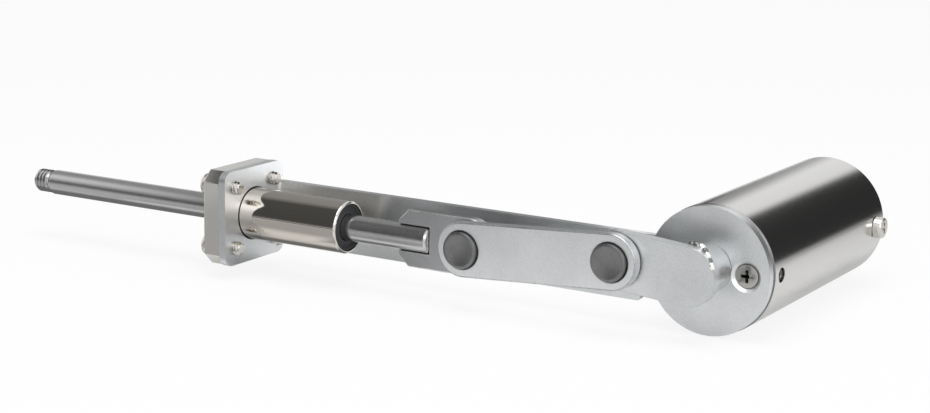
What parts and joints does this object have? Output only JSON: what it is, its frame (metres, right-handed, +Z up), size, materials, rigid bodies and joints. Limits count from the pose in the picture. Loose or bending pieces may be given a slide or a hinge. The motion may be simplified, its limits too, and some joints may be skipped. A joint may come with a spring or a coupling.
{
  "type": "electric linear actuator",
  "caption": "Crank-driven linear actuator: a geared motor in a round tube turns a crank, and a connecting rod drives a threaded push rod through a flanged ball bush on a bent sheet bracket.",
  "frame": {"origin": "on the push rod's axis, in the plane of the bracket's bearing flange that looks at the motor", "axes": "+X along the push rod from its threaded tip to the motor, +Y along the motor's shaft from the crank to the motor's rear, +Z up"},
  "size_m": [0.1943, 0.0852, 0.028],
  "materials": {
    "zinc_plated_steel": "zinc plated, matte with faint mottling",
    "pin_steel": "dark ground steel",
    "rod_steel": "ground, satin",
    "bush_nickel": "nickel plated, polished sleeve and satin flange",
    "cage_resin": "moulded",
    "ball_steel": "polished",
    "seal_rubber": "matte",
    "screw_nickel": "nickel plated, bright",
    "tube_nickel": "nickel plated, polished",
    "cap_plastic": "moulded",
    "grommet_rubber": "matte",
    "gearbox_steel": "satin",
    "gear_brass": "cut",
    "shaft_steel": "ground",
    "bush_bronze": "sintered",
    "can_steel": "plated, satin",
    "magnet_ferrite": "matte",
    "end_cap_plastic": "moulded",
    "carbon": "matte",
    "terminal_brass": "tinned",
    "core_steel": "laminated",
    "copper": "enamelled wire and bare bars"
  },
  "bodies": {
    "base": {"bracket": "zinc_plated_steel", "bearing_shell": "bush_nickel", "bearing_cage": "cage_resin", "bearing_balls": "ball_steel", "bearing_seal_outer": "seal_rubber", "bearing_seal_inner": "seal_rubber", "flange_screws": "screw_nickel", "motor_screws": "screw_nickel", "tube_screws": "screw_nickel", "motor_tube": "tube_nickel", "rear_cap": "cap_plastic", "cable_grommet": "grommet_rubber", "gearbox_front_plate": "gearbox_steel", "gearbox_housing": "gearbox_steel", "gearbox_rear_plate": "gearbox_steel", "gear_axles": "shaft_steel", "output_bush": "bush_bronze", "motor_case": "can_steel", "motor_magnets": "magnet_ferrite", "motor_bush_front": "bush_bronze", "motor_bush_rear": "bush_bronze", "motor_end_cap": "end_cap_plastic", "motor_brushes": "carbon", "motor_terminals": "terminal_brass"},
    "push_rod": {"push_rod": "rod_steel", "rod_end_plate": "zinc_plated_steel", "rod_end_rivet": "pin_steel"},
    "connecting_rod": {"connecting_rod": "zinc_plated_steel", "rod_end_pin": "pin_steel"},
    "crank": {"crank_arm": "zinc_plated_steel", "crank_hub": "zinc_plated_steel", "crank_pin": "pin_steel", "output_shaft": "shaft_steel", "output_gear": "gear_brass"},
    "gear_a": {"gear_pair_a": "gear_brass"},
    "gear_b": {"gear_pair_b": "gear_brass"},
    "rotor": {"motor_pinion": "gear_brass", "motor_shaft": "shaft_steel", "rotor_core": "core_steel", "rotor_windings": "copper", "commutator": "copper"}
  },
  "joints": [
    {"name": "crank_turn", "type": "hinge", "parent": "base", "child": "crank", "pos_m": [0.11127, 0, 0.0009], "axis": [0, 1, 0], "range_deg": [0, 172.5]},
    {"name": "connecting_rod_swing", "type": "hinge", "parent": "crank", "child": "connecting_rod", "pos_m": [0.09493, 0, 0.0023], "axis": [0, 1, 0], "range_deg": [-171.5, 0]},
    {"name": "push_rod_slide", "type": "slide", "parent": "base", "child": "push_rod", "axis": [1, 0, 0], "range_m": [0, 0.03269]},
    {"name": "gear_b_spin", "type": "hinge", "parent": "base", "child": "gear_b", "pos_m": [0.11188, 0, 0.00676], "axis": [0, 1, 0], "range_deg": [-441, 0]},
    {"name": "gear_a_spin", "type": "hinge", "parent": "base", "child": "gear_a", "pos_m": [0.11637, 0, 0.00295], "axis": [0, 1, 0], "range_deg": [0, 1127]},
    {"name": "rotor_spin", "type": "hinge", "parent": "base", "child": "rotor", "pos_m": [0.11127, 0, 0], "axis": [0, 1, 0], "range_deg": [-2879, 0]}
  ],
  "couplings": [
    {"joint": "crank_turn", "follows": "push_rod_slide", "rad_per_m": 92.096},
    {"joint": "connecting_rod_swing", "follows": "push_rod_slide", "rad_per_m": -91.543},
    {"joint": "gear_b_spin", "follows": "push_rod_slide", "rad_per_m": -235.36},
    {"joint": "gear_a_spin", "follows": "push_rod_slide", "rad_per_m": 601.47},
    {"joint": "rotor_spin", "follows": "push_rod_slide", "rad_per_m": -1537.1}
  ]
}
